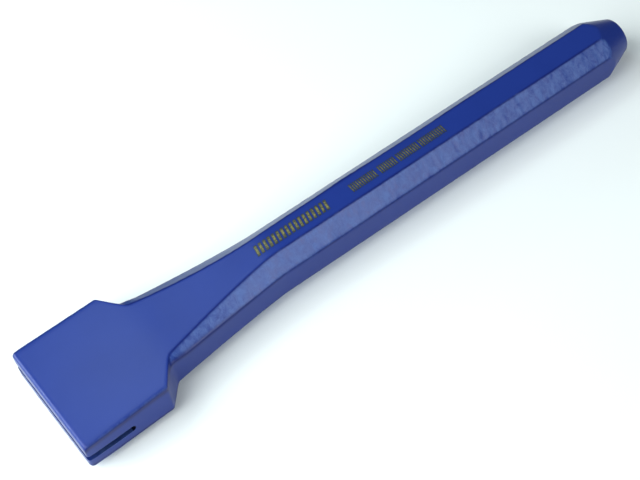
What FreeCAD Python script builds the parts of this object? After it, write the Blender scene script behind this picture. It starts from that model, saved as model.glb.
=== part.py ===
import FreeCAD, Part
import math
import os

from FreeCAD import Vector

# Scutch chisel: a comb holder forged in one piece from octagonal bar, enamelled
# all over, with two gold prints on its top flat.
# Stations are measured along the tool from the working end. The finished part
# has +X from the working end to the striking end, +Y across, +Z up, and its
# origin on the resting plane under the middle of the tool. Millimetres.

OVERALL_LENGTH = 200.0

# octagonal shank, measured across flats, and the legs of its corner chamfers
BAR_ACROSS = 17.3
BAR_CHAMFER = 4.55

# turned striking end: where the cone first meets the bar's corners, and its rim
CONE_START = 189.7
RIM_RADIUS = 5.4
RIM_ROUNDING = 0.7

# wedge-shaped head: widths, and heights of its faces above the tool's axis
END_WIDTH = 38.0
SHOULDER_WIDTH = 36.6
SHOULDER_STATION = 26.3
SHOULDER_REACH = 5.7          # how far the sloped shoulder runs along the tool
END_TOP = 3.7
END_BOTTOM = -5.95
END_CORNER_RADIUS = 1.8
SHOULDER_CORNER_RADIUS = 1.0
HEAD_EDGE_ROUNDING = 0.8

# neck between head and shank: half-widths at its head end
NECK_START = SHOULDER_STATION + SHOULDER_REACH
NECK_END = 71.0
NECK_TOP = 5.65
NECK_BOTTOM = -5.5
NECK_TOP_FLAT = 10.3
NECK_SIDE = 12.6
NECK_SIDE_LOWER_EDGE = -4.9
NECK_HEIGHT_POWER = 1.45
NECK_FLAT_POWER = 1.5
NECK_SIDE_POWER = 1.2
NECK_SECTIONS = 9
NECK_ROOT = 24.0              # where the neck's loft starts, inside the head

# saw-cut slot for the comb, right across the working end
SLOT_WIDTH = 2.0
SLOT_DEPTH = 14.8
SLOT_HEIGHT = -1.45           # of its middle plane, from the tool's axis

# gold prints on the top flat
INK_THICKNESS = 0.05
MARK_START = 67.5
MARK_BARS = 17
MARK_PITCH = 1.47
MARK_BAR_WIDTH = 1.0
MARK_BAR_HEIGHT = 3.7
MARK_SLANT = 0.75
TICK_PITCH = 0.75
TICK_WIDTH = 0.5
TICK_HEIGHT = 3.1
TICK_GROUPS = ((100.4, 12), (110.4, 8), (117.0, 10), (124.9, 12))

BIG = 60.0                    # larger than the tool's section, for cutting
TINY = 0.01


def blend(station, power, start_value, end_value):
    """Value at a station of the neck, going from one end's value to the other's."""
    run = (station - NECK_START) / (NECK_END - NECK_START)
    run = min(max(run, 0.0), 1.0)
    return end_value + (start_value - end_value) * (1.0 - run) ** power


def top_height(station):
    """Height of the top face above the axis: head plane, then a rising neck."""
    if station <= NECK_START:
        return END_TOP + (NECK_TOP - END_TOP) * station / NECK_START
    run = min((station - NECK_START) / (NECK_END - NECK_START), 1.0)
    return NECK_TOP + (BAR_ACROSS / 2 - NECK_TOP) * run ** NECK_HEIGHT_POWER


def bottom_height(station):
    if station <= NECK_START:
        return END_BOTTOM + (NECK_BOTTOM - END_BOTTOM) * station / NECK_START
    run = min((station - NECK_START) / (NECK_END - NECK_START), 1.0)
    return NECK_BOTTOM - (BAR_ACROSS / 2 + NECK_BOTTOM) * run ** NECK_HEIGHT_POWER


def octagon(station):
    """Eight-sided section of the neck or shank at a station."""
    half = BAR_ACROSS / 2
    flat = blend(station, NECK_FLAT_POWER, NECK_TOP_FLAT, half - BAR_CHAMFER)
    side = blend(station, NECK_SIDE_POWER, NECK_SIDE, half)
    lower = blend(station, NECK_HEIGHT_POWER, NECK_SIDE_LOWER_EDGE, BAR_CHAMFER - half)
    right = [
        (flat, top_height(station)),
        (side, half - BAR_CHAMFER),
        (side, lower),
        (flat, bottom_height(station)),
    ]
    left = [(-y, z) for y, z in reversed(right)]
    corners = [Vector(station, y, z) for y, z in right + left]
    return Part.makePolygon(corners + corners[:1])


def rounded_outline(corners, radii):
    """Closed wire in the XY plane through the corners, each with its own radius."""
    edges = []
    points = [Vector(x, y, 0) for x, y in corners]
    arcs = []
    count = len(points)
    for i in range(count):
        here = points[i]
        to_last = (points[i - 1] - here).normalize()
        to_next = (points[(i + 1) % count] - here).normalize()
        half_angle = to_last.getAngle(to_next) / 2
        radius = radii[i]
        if radius == 0:
            arcs.append((here, None, here))
            continue
        run = radius / math.tan(half_angle)
        bisector = (to_last + to_next).normalize()
        middle = here + bisector * (radius / math.sin(half_angle) - radius)
        arcs.append((here + to_last * run, middle, here + to_next * run))
    for i in range(count):
        start, middle, end = arcs[i]
        if middle is not None:
            edges.append(Part.Arc(start, middle, end).toShape())
        edges.append(Part.LineSegment(end, arcs[(i + 1) % count][0]).toShape())
    return Part.Wire(edges)


def side_profile(last_station, lift=0.0, stations=()):
    """Solid between the bottom and top faces of the head and neck."""
    inner = [s for s in stations if NECK_START <= s < last_station]
    run = [0.0] + inner + [last_station]
    top = [Vector(s, -BIG / 2, top_height(s)) for s in run]
    if lift:
        below = [point + Vector(0, 0, lift) for point in reversed(top)]
    else:
        below = [Vector(s, -BIG / 2, bottom_height(s)) for s in reversed(run)]
    outline = top + below
    face = Part.Face(Part.makePolygon(outline + outline[:1]))
    return face.extrude(Vector(0, BIG, 0))


def neck_stations():
    step = (NECK_END - NECK_START) / (NECK_SECTIONS - 1)
    return [NECK_START + step * i for i in range(NECK_SECTIONS)]


def head_block():
    """Wedge with sloped shoulders, rounded corners and rounded working end."""
    end = END_WIDTH / 2
    shoulder = SHOULDER_WIDTH / 2
    back = SHOULDER_STATION + SHOULDER_REACH
    inner = blend(back, NECK_FLAT_POWER, NECK_TOP_FLAT, BAR_ACROSS / 2 - BAR_CHAMFER)
    right = [(0, -end), (SHOULDER_STATION, -shoulder), (back, -inner)]
    left = [(x, -y) for x, y in reversed(right)]
    radii = [END_CORNER_RADIUS, SHOULDER_CORNER_RADIUS, 0]
    outline = rounded_outline(right + left, radii + radii[::-1])
    outline.translate(Vector(0, 0, -BIG / 2))
    prism = Part.Face(outline).extrude(Vector(0, 0, BIG))
    block = prism.common(side_profile(NECK_START))
    return round_head_edges(block)


def round_head_edges(block):
    """Round the top and bottom edges all along the outline, but not at the back."""
    chosen = []
    for edge in block.Edges:
        box = edge.BoundBox
        upright = box.XLength < TINY and box.YLength < TINY
        at_back = box.XMin > NECK_START - TINY
        if not (upright or at_back):
            chosen.append(edge)
    return block.makeFillet(HEAD_EDGE_ROUNDING, chosen)


def shank_and_neck():
    sections = [octagon(station) for station in [NECK_ROOT] + neck_stations()]
    neck = Part.makeLoft(sections, True, True)
    shank = Part.Face(sections[-1]).extrude(Vector(OVERALL_LENGTH - NECK_END, 0, 0))
    return neck.fuse(shank)


def turned_envelope():
    """Round solid that turns the last stretch of the bar down to a cone."""
    corner = math.hypot(BAR_ACROSS / 2, BAR_ACROSS / 2 - BAR_CHAMFER)
    growth = (corner - RIM_RADIUS) / (OVERALL_LENGTH - CONE_START)
    wide = RIM_RADIUS + growth * (OVERALL_LENGTH - NECK_ROOT)
    profile = [
        Vector(NECK_ROOT, 0, 0),
        Vector(NECK_ROOT, wide, 0),
        Vector(OVERALL_LENGTH, RIM_RADIUS, 0),
        Vector(OVERALL_LENGTH, 0, 0),
    ]
    face = Part.Face(Part.makePolygon(profile + profile[:1]))
    cone = face.revolve(Vector(0, 0, 0), Vector(1, 0, 0), 360)
    rim = [e for e in cone.Edges if e.BoundBox.XMin > OVERALL_LENGTH - TINY
           and e.BoundBox.YLength > RIM_RADIUS]
    return cone.makeFillet(RIM_ROUNDING, rim)


def comb_slot():
    """Cutter for the slot: parallel walls and a round bottom."""
    radius = SLOT_WIDTH / 2
    floor = SLOT_DEPTH - radius
    origin = Vector(-1, -BIG / 2, SLOT_HEIGHT - radius)
    walls = Part.makeBox(floor + 1, BIG, SLOT_WIDTH, origin)
    axis_start = Vector(floor, -BIG / 2, SLOT_HEIGHT)
    bottom = Part.makeCylinder(radius, BIG, axis_start, Vector(0, 1, 0))
    return walls.fuse(bottom)


def slanted_bar(start, width, height, slant):
    """Upright prism of one printed bar, leaning by slant over its height."""
    corners = [
        Vector(start, -height / 2, 0),
        Vector(start + width, -height / 2, 0),
        Vector(start + width + slant, height / 2, 0),
        Vector(start + slant, height / 2, 0),
    ]
    face = Part.Face(Part.makePolygon(corners + corners[:1]))
    return face.extrude(Vector(0, 0, BIG))


def print_on_top(bars):
    """Ink layer of the bars, lying on the top face."""
    layer = side_profile(OVERALL_LENGTH, INK_THICKNESS, neck_stations())
    return Part.makeCompound([bar.common(layer).Solids[0] for bar in bars])


def large_mark():
    starts = [MARK_START + MARK_PITCH * i for i in range(MARK_BARS)]
    bars = [slanted_bar(s, MARK_BAR_WIDTH, MARK_BAR_HEIGHT, MARK_SLANT) for s in starts]
    return print_on_top(bars)


def small_line():
    bars = []
    for start, count in TICK_GROUPS:
        for i in range(count):
            bars.append(slanted_bar(start + TICK_PITCH * i, TICK_WIDTH, TICK_HEIGHT, 0))
    return print_on_top(bars)


def forged_body():
    bar = shank_and_neck().common(turned_envelope())
    body = head_block().fuse(bar).cut(comb_slot()).removeSplitter()
    return body


nodes = {
    "forged_body": forged_body(),
    "printed_mark_large": large_mark(),
    "printed_mark_small": small_line(),
}

to_origin = Vector(-OVERALL_LENGTH / 2, 0, BAR_ACROSS / 2)
os.makedirs("parts", exist_ok=True)
for name, shape in nodes.items():
    shape.translate(to_origin)
    shape.exportStep("parts/" + name + ".step")
    box = shape.BoundBox
    print(name, "solids", len(shape.Solids), "valid", shape.isValid(),
          "volume", round(shape.Volume, 2),
          "x %.2f %.2f  y %.2f %.2f  z %.2f %.2f" %
          (box.XMin, box.XMax, box.YMin, box.YMax, box.ZMin, box.ZMax))
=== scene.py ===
import math

import bmesh
import bpy
import numpy as np
from mathutils import Matrix, Vector


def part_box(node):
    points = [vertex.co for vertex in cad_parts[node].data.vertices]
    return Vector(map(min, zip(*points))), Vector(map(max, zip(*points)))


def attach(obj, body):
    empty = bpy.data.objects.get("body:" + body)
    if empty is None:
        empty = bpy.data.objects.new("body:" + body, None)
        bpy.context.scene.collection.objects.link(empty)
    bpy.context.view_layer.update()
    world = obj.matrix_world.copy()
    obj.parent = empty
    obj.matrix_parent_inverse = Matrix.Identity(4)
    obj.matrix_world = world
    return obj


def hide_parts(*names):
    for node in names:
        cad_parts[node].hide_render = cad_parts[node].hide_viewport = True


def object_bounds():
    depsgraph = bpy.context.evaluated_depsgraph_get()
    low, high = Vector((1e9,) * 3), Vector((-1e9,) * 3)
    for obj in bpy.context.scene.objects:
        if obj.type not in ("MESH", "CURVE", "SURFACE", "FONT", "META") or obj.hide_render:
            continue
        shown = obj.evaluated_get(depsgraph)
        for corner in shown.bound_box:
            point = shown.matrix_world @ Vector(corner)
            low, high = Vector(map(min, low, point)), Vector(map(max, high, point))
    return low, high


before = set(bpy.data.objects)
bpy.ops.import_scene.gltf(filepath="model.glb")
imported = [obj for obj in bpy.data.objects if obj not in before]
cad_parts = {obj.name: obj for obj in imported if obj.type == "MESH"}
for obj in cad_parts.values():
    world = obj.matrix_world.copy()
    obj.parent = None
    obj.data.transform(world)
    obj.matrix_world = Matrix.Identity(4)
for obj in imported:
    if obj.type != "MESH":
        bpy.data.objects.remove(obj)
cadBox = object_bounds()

mm = 0.001

# Scutch chisel: forged from octagonal bar, blue enamel all over, gold print on top.
# Stations are millimetres from the working end; heights are from the bar's axis.
bodyLow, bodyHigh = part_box("forged_body")
across = (bodyHigh.z - bodyLow.z) / mm
overallLength = (bodyHigh.x - bodyLow.x) / mm
axisHeight = bodyLow.z + across / 2 * mm

forging = {
    "across": across,           # octagon, flat to flat
    "chamferLeg": 4.55,
    "endHalfWidth": 19.0,       # wedge head, in plan
    "shoulderHalfWidth": 18.2,
    "shoulderStation": 26.4,
    "shoulderSlope": -1.40,     # how fast the sloped shoulder draws in, at the top
    "lowerShoulderSlope": -1.12,
    "draft": 0.15,              # how much wider the head is below
    "neckStation": 32.0,        # where the sloped shoulder ends
    "shankStation": 71.0,
    "endTop": 3.7,
    "endBottom": -5.95,
    "neckTop": 5.65,
    "neckBottom": -5.5,
    "neckFlat": 10.3,           # half-width of the neck's top flat at the shoulder
    "neckSide": 12.6,
    "neckLowerEdge": -4.9,
    "heightPower": 1.45,
    "flatPower": 1.5,
    "sidePower": 1.2,
    "facetBow": 0.25,           # how far the facet's lower edge dips along the neck
    "facetFootLift": 0.6,       # and how far it lifts at the shoulder, over what length
    "facetFootLength": 2.5,
    "topStep": 0.8,             # least height of a facet at the top and at the bottom
    "bottomStep": 0.4,
    "cornerHeights": (-5.95, -1.45, 2.6, 3.7),     # plan radius of the end's corners, by height
    "cornerRadii": (1.4, 0.9, 0.4, 1.2),
    "endRounding": 1.2,
    "lowerEndRounding": 0.5,
    "profileReach": 3.0,        # half the stretch that top, bottom and plan are averaged over
    "planReach": 0.35,
    "profileSamples": 9,
    "headRounding": 0.6,        # half the length that each corner is averaged over
    "barRounding": 0.5,
    "roundingChanges": (26.0, 36.0),    # stations between which one gives way to the other
    "roundingSamples": 24,
    "filletRun": 0.9,
    "lowerFilletRun": 2.4,
    "footFilletRun": 1.0,
    "clearance": 0.02,          # kept inside the widest place of the CAD body
    "coneStation": 189.7,
    "coneReach": 8.0,           # how far before the cone its blend still counts
    "rimRadius": 5.4,
    "rimRounding": 0.7,
    "coneBlend": 0.12,
    "creaseAngle": 38.0,        # edges sharper than this are shaded sharp, degrees
}


def smoothMax(a, b, run):
    # the larger of two, with a fillet where they are within a run of each other
    near = np.clip(1 - np.abs(a - b) / run, 0.0, 1.0)
    return np.maximum(a, b) + near * near * run / 4


def smoothStep(low, high, value):
    t = np.clip((value - low) / (high - low), 0.0, 1.0)
    return t * t * (3 - 2 * t)


def neckRun(station):
    return np.clip((station - forging["neckStation"])
                   / (forging["shankStation"] - forging["neckStation"]), 0.0, 1.0)


def averaged(shape, station, reach):
    # mean of a profile over a short stretch, so that its corners turn softly
    offsets = np.linspace(-reach, reach, forging["profileSamples"])
    return np.mean([shape(station + o) for o in offsets], axis=0)


def topProfile(station):
    f = forging
    head = f["endTop"] + (f["neckTop"] - f["endTop"]) * station / f["neckStation"]
    rise = f["across"] / 2 - f["neckTop"]
    neck = f["neckTop"] + rise * neckRun(station) ** f["heightPower"]
    return np.where(station <= f["neckStation"], head, neck)


def bottomProfile(station):
    f = forging
    head = f["endBottom"] + (f["neckBottom"] - f["endBottom"]) * station / f["neckStation"]
    drop = f["across"] / 2 + f["neckBottom"]
    neck = f["neckBottom"] - drop * neckRun(station) ** f["heightPower"]
    return np.where(station <= f["neckStation"], head, neck)


def planProfile(slope, draft):
    # half-width of the head at a station: straight side, then the sloped shoulder
    f = forging
    taper = f["shoulderHalfWidth"] - f["endHalfWidth"]

    def halfWidth(station):
        head = f["endHalfWidth"] + taper * station / f["shoulderStation"]
        shoulder = f["shoulderHalfWidth"] + slope * (station - f["shoulderStation"])
        return np.maximum(np.minimum(head, shoulder) + draft, 0.0)
    return halfWidth


def cornerPull(station, radius):
    # how far a quarter-round of this radius draws an outline in near the end face
    t = np.clip(1 - station / radius, 0.0, 1.0)
    return radius * (1 - np.sqrt(1 - t * t))


def keyCorners(station, wander=0.0, sag=0.0):
    # half-section, from the middle of the top to the middle of the bottom: (y, z) rows
    f = forging
    half = f["across"] / 2
    corner = half - f["chamferLeg"]             # of the plain bar's flats, from its middle
    left = 1 - neckRun(station)
    top = averaged(topProfile, station, f["profileReach"]) - cornerPull(station, f["endRounding"])
    bottom = averaged(bottomProfile, station, f["profileReach"])
    bottom += cornerPull(station, f["lowerEndRounding"])
    flat = corner + (f["neckFlat"] - corner) * left ** f["flatPower"] + wander
    side = half + (f["neckSide"] - half) * left ** f["sidePower"]
    foot = math.exp(-((station - f["neckStation"]) / f["facetFootLength"]) ** 2)
    bow = f["facetBow"] * np.sin(np.pi * neckRun(station))
    upperEdge = min(corner - bow + f["facetFootLift"] * foot - sag, top - f["topStep"])
    lowerEdge = (f["neckLowerEdge"] + corner) * left ** f["heightPower"] - corner
    lowerEdge = max(lowerEdge, bottom + f["bottomStep"])
    widest = bodyHigh.y / mm - f["clearance"]
    upper = averaged(planProfile(f["shoulderSlope"], 0.0), station, f["planReach"])
    lower = averaged(planProfile(f["lowerShoulderSlope"], f["draft"]), station, f["planReach"])
    upper = min(upper, widest)
    lower = min(lower, widest)

    def wall(z):
        radius = np.interp(z, f["cornerHeights"], f["cornerRadii"])
        width = upper + (lower - upper) * (top - z) / (top - bottom)
        return width - cornerPull(station, radius)

    # each width is the neck's own or the head's wall, whichever is further out
    y1 = smoothMax(wall(top), flat, f["filletRun"])
    y6 = smoothMax(wall(bottom), flat, f["filletRun"])
    meets = np.clip((y1 - flat) / (side - flat), 0.0, 1.0)
    z2 = top + (upperEdge - top) * meets
    run = f["filletRun"] + (f["lowerFilletRun"] - f["filletRun"]) * meets
    y2 = smoothMax(wall(z2), flat + (side - flat) * meets, run)
    meets = np.clip((y6 - flat) / (side - flat), 0.0, 1.0)
    z5 = bottom + (lowerEdge - bottom) * meets
    run = f["filletRun"] + (f["footFilletRun"] - f["filletRun"]) * meets
    y5 = smoothMax(wall(z5), flat + (side - flat) * meets, run)
    y3 = smoothMax(wall(upperEdge), side, f["lowerFilletRun"])
    y4 = smoothMax(wall(lowerEdge), side, f["footFilletRun"])
    return np.array([(0, top), (y1, top), (y2, z2), (y3, upperEdge), (y4, lowerEdge),
                     (y5, z5), (y6, bottom), (0, bottom)])


strays = {                      # how far the real bar strays from a true octagon, mm
    "slowWander": (0.07, 11.0),         # height of a wave, and its length over two pi
    "quickWander": (0.05, 4.7),
    "wanderStarts": (45.0, 75.0),
    "quickPhase": 2.3,                  # keeps the two waves out of step
    "farPhase": 1.0,
    "nearPhase": 4.0,
    "nipSpread": 0.45,                  # the far side's nipped stretch
    "nipStation": 101.0,
    "nipLength": 8.0,
    "slowRipple": (0.16, 2.9),          # the near facet's lower edge
    "quickRipple": (0.12, 1.6),
    "rippleStarts": (58.0, 68.0),
    "rippleEnds": (92.0, 112.0),
}


def edgeWander(station, phase):
    # drawn bar is never quite even: its corner lines wander by a tenth of a millimetre
    slow, slowLength = strays["slowWander"]
    quick, quickLength = strays["quickWander"]
    stray = slow * math.sin(station / slowLength + phase)
    stray += quick * math.sin(station / quickLength + strays["quickPhase"] * phase)
    return stray * float(smoothStep(*strays["wanderStarts"], station))


def farWander(station):
    # on the far side the top flat spreads for a short stretch, where the bar was nipped
    nip = math.exp(-((station - strays["nipStation"]) / strays["nipLength"]) ** 2)
    return edgeWander(station, strays["farPhase"]) + strays["nipSpread"] * nip


def nearWander(station):
    return edgeWander(station, strays["nearPhase"])


def nearSag(station):
    # the near facet's lower edge was dressed by hand where the neck runs into the bar
    slow, slowLength = strays["slowRipple"]
    quick, quickLength = strays["quickRipple"]
    ripple = slow * math.sin(station / slowLength) + quick * math.sin(station / quickLength + 1.0)
    fade = smoothStep(*strays["rippleStarts"], station) - smoothStep(*strays["rippleEnds"], station)
    return ripple * float(fade)


columns = {                     # how a section's points are spread along its outline
    "counts": [12, 3, 12, 12, 12, 3, 12],       # on the half-section's seven runs
    "shortestRun": 0.3,         # keeps a vanishing run's points apart, mm
    "bunching": 0.65,           # 0 spaces a run's points evenly, 1 crowds them into its corners
    "headEnds": (27.0, 34.0),
}


def columnPlaces(key, station):
    # arc lengths of the columns along the half-section, bunched towards its corners
    runs = np.linalg.norm(np.diff(key, axis=0), axis=1)
    total = runs.sum()
    padded = np.maximum(runs, columns["shortestRun"])
    corners = np.concatenate([[0], np.cumsum(padded)]) * total / padded.sum()
    even = corners.copy()                       # on the head the upright side is one run
    sideCounts = columns["counts"][1:6]
    sideShares = np.cumsum([0] + sideCounts) / sum(sideCounts)
    even[1:7] = corners[1] + (corners[6] - corners[1]) * sideShares
    onHead = 1 - smoothStep(*columns["headEnds"], station)
    corners = corners + (even - corners) * onHead
    bunching = columns["bunching"]
    places = []
    for i, count in enumerate(columns["counts"]):
        t = np.arange(count) / count
        t = (1 - bunching) * t + bunching * (0.5 - 0.5 * np.cos(math.pi * t))
        places.extend(corners[i] + (corners[i + 1] - corners[i]) * t)
    places.append(total)
    return np.array(places)


def roundedSection(station):
    # closed section whose corners are rounded by averaging the outline along its length
    f = forging
    far = keyCorners(station, farWander(station))
    near = keyCorners(station, nearWander(station), nearSag(station))
    outline = np.vstack([far, near[-2::-1] * (-1, 1)])
    runs = np.linalg.norm(np.diff(outline, axis=0), axis=1)
    lengths = np.concatenate([[0], np.cumsum(runs)])
    total = lengths[-1]
    onHead = 1 - smoothStep(*f["roundingChanges"], station)
    reach = f["barRounding"] + (f["headRounding"] - f["barRounding"]) * onHead
    farPlaces = columnPlaces(far, station)
    nearPlaces = total - columnPlaces(near, station)[-2:0:-1]
    around = np.concatenate([farPlaces, nearPlaces])
    samples = f["roundingSamples"]
    offsets = (np.arange(samples) + 0.5) / samples * 2 - 1
    at = np.mod(around[:, None] + offsets[None, :] * reach, total)
    y = np.interp(at, lengths, outline[:, 0]).mean(axis=1)
    z = np.interp(at, lengths, outline[:, 1]).mean(axis=1)
    return np.column_stack([y, z])


def turned(section, station):
    # the coned end, ground round, which leaves a scallop at the end of each flat
    f = forging
    if station < f["coneStation"] - f["coneReach"]:
        return section
    corner = math.hypot(f["across"] / 2, f["across"] / 2 - f["chamferLeg"])
    growth = (corner - f["rimRadius"]) / (overallLength - f["coneStation"])
    limit = f["rimRadius"] + growth * (overallLength - station)
    past = max(station - (overallLength - f["rimRounding"]), 0.0)
    limit -= f["rimRounding"] - math.sqrt(max(f["rimRounding"] ** 2 - past ** 2, 0.0))
    radius = np.hypot(section[:, 0], section[:, 1])
    softer = 0.5 * (radius + limit - np.sqrt((radius - limit) ** 2 + f["coneBlend"] ** 2))
    return section * (softer / radius)[:, None]


rings = {
    "endSteps": 12,             # over the working end's rounded corners
    "stretches": ((2.3, 24.0, 0.6), (24.0, 36.0, 0.25), (36.0, 186.0, 0.5), (186.0, 199.2, 0.25)),
    "rimSteps": 7,              # over the striking end's rim
}


def ringStations():
    # where the sections stand, closest where the shape turns fastest
    widestCorner = max(forging["cornerRadii"])
    rim = forging["rimRounding"]
    quarter = math.pi / 2
    endSteps, rimSteps = rings["endSteps"], rings["rimSteps"]
    stations = [widestCorner * (1 - math.cos(quarter * i / endSteps)) for i in range(endSteps + 1)]
    for start, end, step in rings["stretches"]:
        stations += list(np.arange(start, end, step))
    rimStart = overallLength - rim
    stations += [rimStart + rim * math.sin(quarter * i / rimSteps) for i in range(rimSteps + 1)]
    return stations


def newPiece(mesh, name):
    # the finished mesh as an object in the scene
    data = bpy.data.meshes.new(name)
    mesh.to_mesh(data)
    mesh.free()
    piece = bpy.data.objects.new(name, data)
    bpy.context.collection.objects.link(piece)
    return piece


def buildForging():
    mesh = bmesh.new()
    hoops = []
    for station in ringStations():
        section = turned(roundedSection(station), station)
        x = bodyLow.x + station * mm
        hoops.append([mesh.verts.new((x, y * mm, axisHeight + z * mm)) for y, z in section])
    count = len(hoops[0])
    for a, b in zip(hoops, hoops[1:]):
        for i in range(count):
            j = (i + 1) % count
            mesh.faces.new((a[i], a[j], b[j], b[i]))
    closeStrikingEnd(mesh, hoops[-1])
    closeWorkingEnd(mesh, hoops[0])
    bmesh.ops.recalc_face_normals(mesh, faces=mesh.faces)
    return newPiece(mesh, "forgedBody")


def closeStrikingEnd(mesh, rim):
    # rings that shrink to a middle point
    middle = sum((v.co for v in rim), Vector()) / len(rim)
    last = rim
    for scale in (0.85, 0.65, 0.45, 0.25):
        ring = [mesh.verts.new(middle + (v.co - middle) * scale) for v in rim]
        for i in range(len(ring)):
            j = (i + 1) % len(ring)
            mesh.faces.new((last[i], last[j], ring[j], ring[i]))
        last = ring
    centre = mesh.verts.new(middle)
    for i in range(len(last)):
        mesh.faces.new((last[i], last[(i + 1) % len(last)], centre))


def closeWorkingEnd(mesh, outline):
    # flat end face: rings that shrink onto the face's long middle line
    low = min(v.co.z for v in outline)
    high = max(v.co.z for v in outline)
    reach = max(v.co.y for v in outline) - (high - low) / 2
    last = outline
    for scale in (0.8, 0.5, 0.2):
        ring = []
        for v in outline:
            spine = Vector((v.co.x, min(max(v.co.y, -reach), reach), (low + high) / 2))
            ring.append(mesh.verts.new(spine + (v.co - spine) * scale))
        for i in range(len(ring)):
            j = (i + 1) % len(ring)
            mesh.faces.new((last[i], ring[i], ring[j], last[j]))
        last = ring
    mesh.faces.new(last)


comb = {                        # slot that the toothed comb slides into, mm
    "width": 2.0,
    "depth": 14.8,
    "height": -1.45,
    "overshoot": 2.0,           # how far the cutter starts before the end face
    "halfSpan": 25.0,           # and how far it reaches past the head on each side
    "turnSteps": 12,
}


def slotCutter():
    # parallel walls and a round bottom
    radius = comb["width"] / 2
    floor = comb["depth"] - radius
    outline = [(-comb["overshoot"], radius), (floor, radius)]
    for i in range(1, comb["turnSteps"]):
        turn = math.pi * i / comb["turnSteps"]
        outline.append((floor + radius * math.sin(turn), radius * math.cos(turn)))
    outline += [(floor, -radius), (-comb["overshoot"], -radius)]
    outline = [(bodyLow.x + s * mm, axisHeight + (comb["height"] + h) * mm) for s, h in outline]
    mesh = bmesh.new()
    sides = []
    for y in (-comb["halfSpan"] * mm, comb["halfSpan"] * mm):
        sides.append([mesh.verts.new((x, y, z)) for x, z in outline])
    for i in range(len(outline)):
        j = (i + 1) % len(outline)
        mesh.faces.new((sides[0][i], sides[0][j], sides[1][j], sides[1][i]))
    mesh.faces.new(sides[0])
    mesh.faces.new(sides[1][::-1])
    bmesh.ops.recalc_face_normals(mesh, faces=mesh.faces)
    return newPiece(mesh, "slotCutter")


def addNode(tree, kind, links=None, **settings):
    # one node, its settings by name, and what its sockets take: a socket or a value
    node = tree.nodes.new(kind)
    for name, value in settings.items():
        setattr(node, name, value)
    for key, source in (links or {}).items():
        target = node.inputs[key]
        if isinstance(source, bpy.types.NodeSocket):
            tree.links.new(source, target)
        else:
            target.default_value = source
    return node


def plainMesh(piece):
    # the evaluated piece as its own mesh, with no modifier left
    evaluated = piece.evaluated_get(bpy.context.evaluated_depsgraph_get())
    data = bpy.data.meshes.new_from_object(evaluated)
    piece.modifiers.clear()
    piece.data = data
    return piece


def nodeModifier(piece, tree, values):
    modifier = piece.modifiers.new(tree.name, "NODES")
    modifier.node_group = tree
    for item in tree.interface.items_tree:
        if item.item_type == "SOCKET" and item.in_out == "INPUT" and item.name in values:
            modifier[item.identifier] = values[item.name]
    return modifier


def newGeometryTree(name, inputs):
    tree = bpy.data.node_groups.new(name, "GeometryNodeTree")
    tree.interface.new_socket("Geometry", in_out="INPUT", socket_type="NodeSocketGeometry")
    tree.interface.new_socket("Geometry", in_out="OUTPUT", socket_type="NodeSocketGeometry")
    for label, kind in inputs:
        tree.interface.new_socket(label, in_out="INPUT", socket_type=kind)
    return tree, addNode(tree, "NodeGroupInput").outputs


def linear(code):
    # an sRGB hex colour as the linear values that the sockets take
    parts = [int(code[i:i + 2], 16) / 255 for i in (1, 3, 5)]
    return tuple(c / 12.92 if c <= 0.04045 else ((c + 0.055) / 1.055) ** 2.4 for c in parts) + (1.0,)


def newMaterial(name):
    material = bpy.data.materials.new(name)
    material.use_nodes = True
    tree = material.node_tree
    tree.nodes.clear()
    return material, tree


enamel = {
    "deep": "#192D76",
    "plain": "#1E3483",
    # painted light and shade mottling the facets, paler on average than the flats
    "facetPaintedShade": "#21377E",
    "facetPaintedLight": "#455D98",
    "farFacetPaintedShade": "#1E386C",      # painted shade: the far side's facets darker and greyer, standing in for their grazing reflection
    "farShadeEvenness": 0.65,
    # partly thinner enamel over the corners, partly painted shade where the rounded corners turn from
    # the light
    "edge": "#0E1A5C",
    # painted shade: near black deep in the slot
    "slot": "#02051E",
    "ior": 1.33,
    "roughness": 0.3,
    "facetRoughness": 0.45,
    "cloud": 18.0,              # slow change between the deep and the plain blue, mm across
    "patchAlong": 1.9,          # painted light and shade mottling the facets, mm
    "patchAcross": 2.6,
    "patchContrast": (0.33, 0.67),
    "facetTilt": (0.35, 0.75),  # how slanting a face is before it is mottled
    "edgeWidth": 0.35,          # how far the painted shade along an edge spreads, mm
    "neckEdgeWidth": 0.9,
    "neckEdgeEnds": (38.0, 68.0),
    "edgesEnd": (188.0, 190.5),
    "shadeStartDepth": 1.0,          # painted shade in the slot: depth where it starts, mm
    "shadeFullDepth": 4.5,
    "peel": 0.7,                # orange peel of the sprayed coat, mm across
    "peelStrength": 0.5,
    "peelDepth": 0.004,
}


def edgeShade(station, section):
    # how strongly each point is darkened by painted shade, with thinner enamel, along the corner line
    # that it lies nearest to
    spacing = 0.5
    steps = np.arange(0.0, overallLength + 1, spacing)
    keys = np.array([keyCorners(step) for step in steps])
    runs = np.diff(keys, axis=1)
    runs /= np.maximum(np.linalg.norm(runs, axis=2, keepdims=True), 1e-9)
    nearest = np.clip(np.rint(station / spacing).astype(int), 0, len(steps) - 1)
    lowerCorner = 3                             # between the facet and the side
    edge = np.zeros(len(station))
    for i in range(1, 7):
        turn = np.linalg.norm(runs[:, i] - runs[:, i - 1], axis=1)
        real = np.clip(turn / 0.5, 0.0, 1.0)[nearest]       # full from about 30 degrees on
        away = np.linalg.norm(section - keys[nearest, i], axis=1)
        width = enamel["edgeWidth"]
        if i == lowerCorner:                    # the neck's facet runs softly down into its side, and the painted shade there spreads wider
            softer = 1 - smoothStep(*enamel["neckEdgeEnds"], station)
            width = width + (enamel["neckEdgeWidth"] - width) * softer
        edge = np.maximum(edge, real * np.exp(-(away / width) ** 2))
    return edge * (1 - smoothStep(*enamel["edgesEnd"], station))


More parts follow.
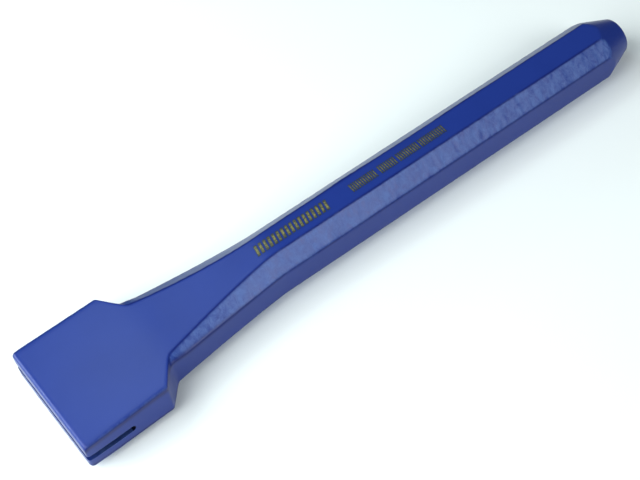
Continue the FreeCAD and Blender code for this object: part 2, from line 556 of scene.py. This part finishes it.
def shadeSlot(mesh):
    # painted shade on the slot's walls and bottom, darker the deeper into the slot
    slotShade = mesh.attributes.new("slotShade", "FLOAT", "FACE")
    radius = comb["width"] / 2
    slack = 0.01
    for face in mesh.polygons:
        height = (face.center.z - axisHeight) / mm - comb["height"]
        deep = (face.center.x - bodyLow.x) / mm
        if abs(height) < radius + slack and deep < comb["depth"] + slack:
            level = abs(face.normal.z) > 0.9
            upright = abs(face.normal.y) < 0.5
            if (level or deep > comb["depth"] - radius) and upright:
                depthShade = smoothStep(enamel["shadeStartDepth"], enamel["shadeFullDepth"], deep)
                slotShade.data[face.index].value = depthShade


def markSurface(piece):
    # where painted light and shade go: shade along the corners (with thinner enamel there), light and
    # shade mottling the facets, shade on the far facets and in the slot
    mesh = piece.data
    spots = np.empty(len(mesh.vertices) * 3)
    mesh.vertices.foreach_get("co", spots)
    normals = np.empty(len(mesh.vertices) * 3)
    mesh.vertices.foreach_get("normal", normals)
    spots = spots.reshape(-1, 3)
    normals = normals.reshape(-1, 3)
    station = (spots[:, 0] - bodyLow.x) / mm
    section = np.column_stack([np.abs(spots[:, 1]), spots[:, 2] - axisHeight]) / mm
    edge = edgeShade(station, section)
    facet = smoothStep(*enamel["facetTilt"], 2 * np.abs(normals[:, 1] * normals[:, 2]))
    facet *= 1 - smoothStep(*skin["levelTilt"], np.abs(normals[:, 0]))
    isFar = normals[:, 1] > 0
    for name, values in (("edge", edge), ("facet", facet * ~isFar), ("farFacetShadeMask", facet * isFar)):
        layer = mesh.attributes.new(name, "FLOAT", "POINT")
        layer.data.foreach_set("value", values.astype(np.float32))
    shadeSlot(mesh)


def satinBlueEnamel():
    # sprayed and stoved enamel: an even satin blue, with painted light and shade mottling the facets
    # and painted shade along the corners, on the far facets and in the slot
    material, tree = newMaterial("satinBlueEnamel")
    place = addNode(tree, "ShaderNodeTexCoord").outputs["Object"]
    edge = addNode(tree, "ShaderNodeAttribute", attribute_name="edge").outputs["Fac"]
    facet = addNode(tree, "ShaderNodeAttribute", attribute_name="facet").outputs["Fac"]
    farFacetShadeMask = addNode(tree, "ShaderNodeAttribute", attribute_name="farFacetShadeMask").outputs["Fac"]
    slotShade = addNode(tree, "ShaderNodeAttribute", attribute_name="slotShade").outputs["Fac"]
    cloud = addNode(tree, "ShaderNodeTexNoise",
                    {"Vector": place, "Scale": 1 / (enamel["cloud"] * mm), "Detail": 3.0})
    # painted light and shade mottling the facets where the dies dented them, a little wider across
    # the bar than they are long
    along = 1 / (enamel["patchAlong"] * mm)
    across = 1 / (enamel["patchAcross"] * mm)
    patches = addNode(tree, "ShaderNodeMapping", {"Vector": place, "Scale": (along, across, across)})
    streak = addNode(tree, "ShaderNodeTexNoise",
                     {"Vector": patches.outputs[0], "Scale": 1.0, "Detail": 5.0,
                      "Roughness": 0.68, "Distortion": 0.5})
    peel = addNode(tree, "ShaderNodeTexNoise",
                   {"Vector": place, "Scale": 1 / (enamel["peel"] * mm), "Detail": 2.0})
    plain = addNode(tree, "ShaderNodeMix",
                    {0: cloud.outputs["Fac"], 6: linear(enamel["deep"]), 7: linear(enamel["plain"])},
                    data_type="RGBA")
    low, high = enamel["patchContrast"]
    strong = addNode(tree, "ShaderNodeMapRange",
                     {"Value": streak.outputs["Fac"], "From Min": low, "From Max": high})
    patchy = addNode(tree, "ShaderNodeMath", {0: strong.outputs[0], 1: facet}, operation="MULTIPLY")
    # painted light and shade: the facets are mixed between a paler and a darker blue
    facetLightAndShade = addNode(tree, "ShaderNodeMix",
                     {0: strong.outputs[0], 6: linear(enamel["facetPaintedShade"]),
                      7: linear(enamel["facetPaintedLight"])}, data_type="RGBA")
    shadedFacets = addNode(tree, "ShaderNodeMix", {0: facet, 6: plain.outputs[2], 7: facetLightAndShade.outputs[2]},
                    data_type="RGBA")
    # painted shade: the far facets are mixed towards a darker, greyer blue that stands in for their
    # grazing reflection
    uneven = addNode(tree, "ShaderNodeMapRange",
                     {"Value": streak.outputs["Fac"], "To Min": enamel["farShadeEvenness"]})
    farShadeAmount = addNode(tree, "ShaderNodeMath", {0: farFacetShadeMask, 1: uneven.outputs[0]}, operation="MULTIPLY")
    both = addNode(tree, "ShaderNodeMix",
                   {0: farShadeAmount.outputs[0], 6: shadedFacets.outputs[2], 7: linear(enamel["farFacetPaintedShade"])},
                   data_type="RGBA")
    # painted shade along the corners, with some thinner enamel there
    cornerShaded = addNode(tree, "ShaderNodeMix", {0: edge, 6: both.outputs[2], 7: linear(enamel["edge"])},
                    data_type="RGBA")
    # painted shade in the slot, near black at depth
    colour = addNode(tree, "ShaderNodeMix",
                     {0: slotShade, 6: cornerShaded.outputs[2], 7: linear(enamel["slot"])}, data_type="RGBA")
    gloss = addNode(tree, "ShaderNodeMapRange",
                    {"Value": patchy.outputs[0], "To Min": enamel["roughness"],
                     "To Max": enamel["facetRoughness"]})
    bump = addNode(tree, "ShaderNodeBump",
                   {"Height": peel.outputs["Fac"], "Strength": enamel["peelStrength"],
                    "Distance": enamel["peelDepth"] * mm})
    shader = addNode(tree, "ShaderNodeBsdfPrincipled",
                     {"Base Color": colour.outputs[2], "Roughness": gloss.outputs[0],
                      "IOR": enamel["ior"], "Normal": bump.outputs[0]})
    addNode(tree, "ShaderNodeOutputMaterial", {"Surface": shader.outputs[0]})
    return material


ink = {
    "gold": "#8C8852",
    "thin": "#4C5042",
    "rim": "#25303A",
    "thickness": 0.05,
    "sunk": 0.04,               # how far each bar reaches into the body, so that no gap shows
    "metallic": 0.35,
    "roughness": (0.4, 0.65),   # where the ink is thin, and where it is thick
    "speckle": 0.5,             # mm across
    "speckleContrast": (0.35, 0.65),
    "speckleDepth": 0.01,
}


def goldScreenInk():
    # matt gold screen ink: warm olive gold, thin and dark at the rims of each bar
    material, tree = newMaterial("goldScreenInk")
    place = addNode(tree, "ShaderNodeTexCoord").outputs["Object"]
    rim = addNode(tree, "ShaderNodeAttribute", attribute_name="inkRim").outputs["Fac"]
    speckle = addNode(tree, "ShaderNodeTexNoise",
                      {"Vector": place, "Scale": 1 / (ink["speckle"] * mm), "Detail": 3.0})
    low, high = ink["speckleContrast"]
    uneven = addNode(tree, "ShaderNodeMapRange",
                     {"Value": speckle.outputs["Fac"], "From Min": low, "From Max": high})
    gold = addNode(tree, "ShaderNodeMix",
                   {0: uneven.outputs[0], 6: linear(ink["thin"]), 7: linear(ink["gold"])},
                   data_type="RGBA")
    colour = addNode(tree, "ShaderNodeMix", {0: rim, 6: gold.outputs[2], 7: linear(ink["rim"])},
                     data_type="RGBA")
    smooth, matt = ink["roughness"]
    gloss = addNode(tree, "ShaderNodeMapRange",
                    {"Value": speckle.outputs["Fac"], "To Min": smooth, "To Max": matt})
    bump = addNode(tree, "ShaderNodeBump", {"Height": speckle.outputs["Fac"], "Strength": 0.4,
                                            "Distance": ink["speckleDepth"] * mm})
    shader = addNode(tree, "ShaderNodeBsdfPrincipled",
                     {"Base Color": colour.outputs[2], "Roughness": gloss.outputs[0],
                      "Metallic": ink["metallic"], "Normal": bump.outputs[0]})
    addNode(tree, "ShaderNodeOutputMaterial", {"Surface": shader.outputs[0]})
    return material


skin = {                        # what the forging dies left, mm
    "dentDepth": 0.09,
    "dentAlong": 1.4,
    "dentAcross": 3.2,
    "grainDepth": 0.012,
    "grainSize": 0.5,
    "waveDepth": 0.03,
    "waveLength": 16.0,
    "dentedTilt": (0.24, 0.42),     # how slanting a face is before it is dented
    "levelTilt": (0.26, 0.36),  # how far it may look along the tool; the cone stays smooth
    "seed": 4,
}


def forgeSkinTree():
    # moves the surface: dents on the corner facets, long shallow waves on the pressed flats
    tree, given = newGeometryTree("forgeSkin", [
        ("Dent Depth", "NodeSocketFloat"), ("Dent Scale", "NodeSocketVector"),
        ("Grain Depth", "NodeSocketFloat"), ("Grain Scale", "NodeSocketFloat"),
        ("Wave Depth", "NodeSocketFloat"), ("Wave Scale", "NodeSocketFloat"),
        ("Seed", "NodeSocketFloat"), ("Material", "NodeSocketMaterial")])
    place = addNode(tree, "GeometryNodeInputPosition").outputs[0]
    normal = addNode(tree, "GeometryNodeInputNormal").outputs[0]
    part = addNode(tree, "ShaderNodeSeparateXYZ", {0: normal}).outputs
    # a facet faces sideways and up or down at once, and doesn't look along the tool
    slope = addNode(tree, "ShaderNodeMath", {0: part["Y"], 1: part["Z"]},
                    operation="MULTIPLY").outputs[0]
    slope = addNode(tree, "ShaderNodeMath", {0: slope}, operation="ABSOLUTE").outputs[0]
    low, high = skin["dentedTilt"]
    facet = addNode(tree, "ShaderNodeMapRange", {"Value": slope, "From Min": low, "From Max": high},
                    interpolation_type="SMOOTHSTEP").outputs[0]
    ahead = addNode(tree, "ShaderNodeMath", {0: part["X"]}, operation="ABSOLUTE").outputs[0]
    low, high = skin["levelTilt"]
    level = addNode(tree, "ShaderNodeMapRange",
                    {"Value": ahead, "From Min": low, "From Max": high, "To Min": 1.0,
                     "To Max": 0.0}).outputs[0]
    facet = addNode(tree, "ShaderNodeMath", {0: facet, 1: level}, operation="MULTIPLY").outputs[0]
    # dents go both ways, grain and waves only inwards
    stretched = addNode(tree, "ShaderNodeVectorMath", {0: place, 1: given["Dent Scale"]},
                        operation="MULTIPLY").outputs[0]
    dent = addNode(tree, "ShaderNodeTexNoise",
                   {"Vector": stretched, "W": given["Seed"], "Scale": 1.0, "Detail": 2.0},
                   noise_dimensions="4D").outputs[0]
    dent = addNode(tree, "ShaderNodeMath", {0: dent, 1: 0.5}, operation="SUBTRACT").outputs[0]
    dent = addNode(tree, "ShaderNodeMath", {0: dent, 1: given["Dent Depth"]},
                   operation="MULTIPLY").outputs[0]
    dent = addNode(tree, "ShaderNodeMath", {0: dent, 1: facet}, operation="MULTIPLY").outputs[0]
    grain = addNode(tree, "ShaderNodeTexNoise",
                    {"Vector": place, "W": given["Seed"], "Scale": given["Grain Scale"]},
                    noise_dimensions="4D").outputs[0]
    grain = addNode(tree, "ShaderNodeMath", {0: grain, 1: given["Grain Depth"]},
                    operation="MULTIPLY").outputs[0]
    wave = addNode(tree, "ShaderNodeTexNoise",
                   {"Vector": place, "W": given["Seed"], "Scale": given["Wave Scale"]},
                   noise_dimensions="4D").outputs[0]
    wave = addNode(tree, "ShaderNodeMath", {0: wave, 1: given["Wave Depth"]},
                   operation="MULTIPLY").outputs[0]
    inward = addNode(tree, "ShaderNodeMath", {0: grain, 1: wave}, operation="ADD").outputs[0]
    move = addNode(tree, "ShaderNodeMath", {0: dent, 1: inward}, operation="SUBTRACT").outputs[0]
    offset = addNode(tree, "ShaderNodeVectorMath", {0: normal, "Scale": move},
                     operation="SCALE").outputs[0]
    moved = addNode(tree, "GeometryNodeSetPosition",
                    {"Geometry": given["Geometry"], "Offset": offset})
    whole = addNode(tree, "GeometryNodeRealizeInstances", {0: moved.outputs[0]})
    coated = addNode(tree, "GeometryNodeSetMaterial",
                     {0: whole.outputs[0], "Material": given["Material"]})
    addNode(tree, "NodeGroupOutput", {0: coated.outputs[0]})
    return tree


def printedBarsTree():
    # a row of slanted bars laid onto the top flat, each a thin closed slab of ink
    dropHeight = 0.1
    tree, given = newGeometryTree("printedBars", [
        ("Surface", "NodeSocketObject"), ("Start", "NodeSocketFloat"), ("Count", "NodeSocketInt"),
        ("Pitch", "NodeSocketFloat"), ("Bar Width", "NodeSocketFloat"),
        ("Bar Height", "NodeSocketFloat"), ("Slant", "NodeSocketFloat"),
        ("Rim From", "NodeSocketFloat"), ("Thickness", "NodeSocketFloat"),
        ("Sunk", "NodeSocketFloat"), ("Material", "NodeSocketMaterial")])
    start = addNode(tree, "ShaderNodeCombineXYZ", {"X": given["Start"]}).outputs[0]
    step = addNode(tree, "ShaderNodeCombineXYZ", {"X": given["Pitch"]}).outputs[0]
    row = addNode(tree, "GeometryNodeMeshLine",
                  {"Count": given["Count"], "Start Location": start, "Offset": step}, mode="OFFSET")
    size = addNode(tree, "ShaderNodeCombineXYZ",
                   {"X": given["Bar Width"], "Y": given["Bar Height"],
                    "Z": given["Thickness"]}).outputs[0]
    bar = addNode(tree, "GeometryNodeMeshCube",
                  {"Size": size, "Vertices X": 9, "Vertices Y": 13, "Vertices Z": 2})
    # the ink is thinnest along its rim
    place = addNode(tree, "GeometryNodeInputPosition").outputs[0]
    local = addNode(tree, "ShaderNodeVectorMath", {0: place, 1: size}, operation="DIVIDE").outputs[0]
    local = addNode(tree, "ShaderNodeVectorMath", {0: local}, operation="ABSOLUTE").outputs[0]
    part = addNode(tree, "ShaderNodeSeparateXYZ", {0: local}).outputs
    rim = addNode(tree, "ShaderNodeMath", {0: part["X"], 1: part["Y"]},
                  operation="MAXIMUM").outputs[0]
    rim = addNode(tree, "ShaderNodeMapRange",
                  {"Value": rim, "From Min": given["Rim From"], "From Max": 0.5}).outputs[0]
    marked = addNode(tree, "GeometryNodeStoreNamedAttribute",
                     {"Geometry": bar.outputs["Mesh"], "Name": "inkRim", "Value": rim},
                     data_type="FLOAT", domain="POINT")
    copies = addNode(tree, "GeometryNodeInstanceOnPoints",
                     {"Points": row.outputs[0], "Instance": marked.outputs[0]})
    bars = addNode(tree, "GeometryNodeRealizeInstances", {0: copies.outputs[0]})
    # each point leans with the slant, then drops onto the body from high above it
    spot = addNode(tree, "GeometryNodeInputPosition").outputs[0]
    part = addNode(tree, "ShaderNodeSeparateXYZ", {0: spot}).outputs
    lean = addNode(tree, "ShaderNodeMath", {0: part["Y"], 1: given["Slant"]},
                   operation="MULTIPLY").outputs[0]
    along = addNode(tree, "ShaderNodeMath", {0: part["X"], 1: lean}, operation="ADD").outputs[0]
    above = addNode(tree, "ShaderNodeCombineXYZ",
                    {"X": along, "Y": part["Y"], "Z": dropHeight}).outputs[0]
    surface = addNode(tree, "GeometryNodeObjectInfo",
                      {"Object": given["Surface"]}).outputs["Geometry"]
    hit = addNode(tree, "GeometryNodeRaycast",
                  {"Target Geometry": surface, "Source Position": above,
                   "Ray Direction": (0, 0, -1), "Ray Length": 2 * dropHeight})
    # the slab's top stands proud by the ink's thickness, and its underside is sunk
    isTop = addNode(tree, "FunctionNodeCompare", {0: part["Z"], 1: 0.0}, data_type="FLOAT",
                    operation="GREATER_THAN").outputs[0]
    under = addNode(tree, "ShaderNodeMath", {0: given["Sunk"], 1: -1.0},
                    operation="MULTIPLY").outputs[0]
    lift = addNode(tree, "GeometryNodeSwitch",
                   {"Switch": isTop, "False": under, "True": given["Thickness"]},
                   input_type="FLOAT").outputs[0]
    raised = addNode(tree, "ShaderNodeCombineXYZ", {"Z": lift}).outputs[0]
    laid = addNode(tree, "ShaderNodeVectorMath", {0: hit.outputs["Hit Position"], 1: raised},
                   operation="ADD").outputs[0]
    placed = addNode(tree, "GeometryNodeSetPosition",
                     {"Geometry": bars.outputs[0], "Position": laid})
    inked = addNode(tree, "GeometryNodeSetMaterial",
                    {0: placed.outputs[0], "Material": given["Material"]})
    addNode(tree, "NodeGroupOutput", {0: inked.outputs[0]})
    return tree


largeMark = {
    "groups": ((67.5, 17),),    # station of the first bar, and how many bars
    "pitch": 1.47,
    "barWidth": 1.0,
    "barHeight": 3.7,
    "slant": 0.2,               # lean along the tool for each unit across it
    "rimFrom": 0.2,             # where the thin rim starts: 0 in the middle of a bar, 0.5 at its edge
}

smallMark = {
    "groups": ((100.4, 12), (110.4, 8), (117.0, 10), (124.9, 12)),
    "pitch": 0.75,
    "barWidth": 0.5,
    "barHeight": 3.1,
    "slant": 0.0,
    "rimFrom": 0.0,
}


def printRow(tree, surface, material, mark, start, count):
    # bars of one row as a plain mesh
    row = bpy.data.objects.new("row", bpy.data.meshes.new("row"))
    bpy.context.collection.objects.link(row)
    firstMiddle = start + mark["barWidth"] / 2 + mark["slant"] * mark["barHeight"] / 2
    nodeModifier(row, tree, {
        "Surface": surface, "Material": material, "Count": count,
        "Start": bodyLow.x + firstMiddle * mm, "Pitch": mark["pitch"] * mm,
        "Bar Width": mark["barWidth"] * mm, "Bar Height": mark["barHeight"] * mm,
        "Slant": mark["slant"], "Rim From": mark["rimFrom"],
        "Thickness": ink["thickness"] * mm, "Sunk": ink["sunk"] * mm})
    return plainMesh(row)


def layPrint(tree, surface, material, mark, name):
    rows = [printRow(tree, surface, material, mark, start, count) for start, count in mark["groups"]]
    first = rows[0]
    if len(rows) > 1:
        with bpy.context.temp_override(active_object=first, selected_editable_objects=rows):
            bpy.ops.object.join()
    first.name = first.data.name = name
    return first


scene = bpy.context.scene
enamelMaterial = satinBlueEnamel()
inkMaterial = goldScreenInk()
print("materials ready")

forged = buildForging()
print("forging lofted:", len(forged.data.vertices), "points")
dentsAlong = 1 / (skin["dentAlong"] * mm)
dentsAcross = 1 / (skin["dentAcross"] * mm)
nodeModifier(forged, forgeSkinTree(), {
    "Dent Depth": skin["dentDepth"] * mm * 2, "Dent Scale": (dentsAlong, dentsAcross, dentsAcross),
    "Grain Depth": skin["grainDepth"] * mm, "Grain Scale": 1 / (skin["grainSize"] * mm),
    "Wave Depth": skin["waveDepth"] * mm, "Wave Scale": 1 / (skin["waveLength"] * mm),
    "Seed": skin["seed"], "Material": enamelMaterial})
plainMesh(forged)
cutter = slotCutter()
cut = forged.modifiers.new("slot", "BOOLEAN")
cut.operation = "DIFFERENCE"
cut.solver = "EXACT"
cut.object = cutter
plainMesh(forged)
bpy.data.objects.remove(cutter)
forged.data.shade_smooth()
forged.data.set_sharp_from_angle(angle=math.radians(forging["creaseAngle"]))
markSurface(forged)
print("slot cut:", len(forged.data.vertices), "points")

barsTree = printedBarsTree()
large = layPrint(barsTree, forged, inkMaterial, largeMark, "printedMarkLarge")
small = layPrint(barsTree, forged, inkMaterial, smallMark, "printedMarkSmall")
print("prints laid")

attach(forged, "root")
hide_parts("forged_body")
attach(large, "root")
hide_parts("printed_mark_large")
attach(small, "root")
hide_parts("printed_mark_small")

studio = {
    "floorSize": 4.0,           # metres
    "floorGap": 0.02,           # below the tool, mm
    "floor": "#E9EEEF",
    "floorTooth": 2.0,          # grain of the paper, mm across
    "sky": "#55575B",
    "skyStrength": 1.0,
}


def whitePaper():
    # seamless background paper: matt white with a faint tooth
    material, tree = newMaterial("whitePaper")
    place = addNode(tree, "ShaderNodeTexCoord").outputs["Object"]
    tooth = addNode(tree, "ShaderNodeTexNoise",
                    {"Vector": place, "Scale": 1 / (studio["floorTooth"] * mm)})
    bump = addNode(tree, "ShaderNodeBump", {"Height": tooth.outputs["Fac"], "Strength": 0.1,
                                            "Distance": 0.02 * mm})
    shader = addNode(tree, "ShaderNodeBsdfPrincipled",
                     {"Base Color": linear(studio["floor"]), "Roughness": 0.9,
                      "Normal": bump.outputs[0], "Specular IOR Level": 0.1})
    addNode(tree, "ShaderNodeOutputMaterial", {"Surface": shader.outputs[0]})
    return material


def layFloor():
    half = studio["floorSize"] / 2
    level = cadBox[0].z - studio["floorGap"] * mm
    mesh = bmesh.new()
    corners = [(-half, -half), (half, -half), (half, half), (-half, half)]
    mesh.faces.new([mesh.verts.new((x, y, level)) for x, y in corners])
    floor = newPiece(mesh, "studioFloor")
    floor.data.materials.append(whitePaper())


# softboxes: direction from the tool, distance, width, height (m), radiance, colour
softboxes = {
    "backOverhead": ((-0.110, 0.52, 0.876), 0.50, 0.10, 0.12, 6.8, (0.78, 1.0, 0.98)),
    "frontFill": ((0.27, -0.745, 0.61), 1.1, 0.36, 0.44, 11.0, (0.95, 1.0, 1.0)),
    "leftKey": ((-0.74, 0.02, 0.68), 0.50, 0.5, 0.5, 5.2, (0.95, 1.0, 0.98)),
    "leftRim": ((-0.77, 0.57, 0.22), 0.60, 0.24, 0.17, 13.0, (0.86, 1.0, 0.98)),
}


def hangSoftboxes():
    aim = Vector((0, 0, axisHeight))
    for name, (direction, distance, width, height, radiance, colour) in softboxes.items():
        lamp = bpy.data.lights.new(name, "AREA")
        lamp.shape = "RECTANGLE"
        lamp.size = width
        lamp.size_y = height
        lamp.energy = radiance * math.pi * width * height
        lamp.color = colour
        holder = bpy.data.objects.new(name, lamp)
        bpy.context.collection.objects.link(holder)
        away = Vector(direction).normalized()
        holder.location = aim + away * distance
        holder.rotation_euler = away.to_track_quat("Z", "Y").to_euler()


def lightSky():
    world = bpy.data.worlds.new("studioRoom")
    world.use_nodes = True
    shade = world.node_tree.nodes["Background"]
    shade.inputs["Color"].default_value = linear(studio["sky"])
    shade.inputs["Strength"].default_value = studio["skyStrength"]
    scene.world = world


cameraSettings = {
    "aimStation": 86.59,        # point at the height of the tool's axis, mm
    "aimAcross": -2.82,
    "azimuth": -29.381,         # degrees
    "elevation": 52.975,
    "roll": -9.314,
    "distance": 0.4249,         # metres
    "lens": 86.22,              # mm, on a sensor 36 mm wide
}


def placeCamera():
    c = cameraSettings
    aim = Vector((bodyLow.x + c["aimStation"] * mm, c["aimAcross"] * mm, axisHeight))
    turn = math.radians(c["azimuth"])
    rise = math.radians(c["elevation"])
    away = Vector((math.sin(turn) * math.cos(rise), -math.cos(turn) * math.cos(rise),
                   math.sin(rise)))
    level = Vector((0, 0, 1)).cross(away).normalized()
    upright = away.cross(level)
    roll = math.radians(c["roll"])
    right = level * math.cos(roll) + upright * math.sin(roll)
    up = away.cross(right)
    lens = bpy.data.cameras.new("studioCamera")
    lens.lens = c["lens"]
    lens.sensor_width = 36.0
    lens.clip_start = 0.01
    camera = bpy.data.objects.new("studioCamera", lens)
    bpy.context.collection.objects.link(camera)
    facing = Matrix((right, up, away)).transposed().to_4x4()
    camera.matrix_world = Matrix.Translation(aim + away * c["distance"]) @ facing
    scene.camera = camera


layFloor()
hangSoftboxes()
lightSky()
placeCamera()
scene.view_settings.view_transform = "Standard"
print("studio set")
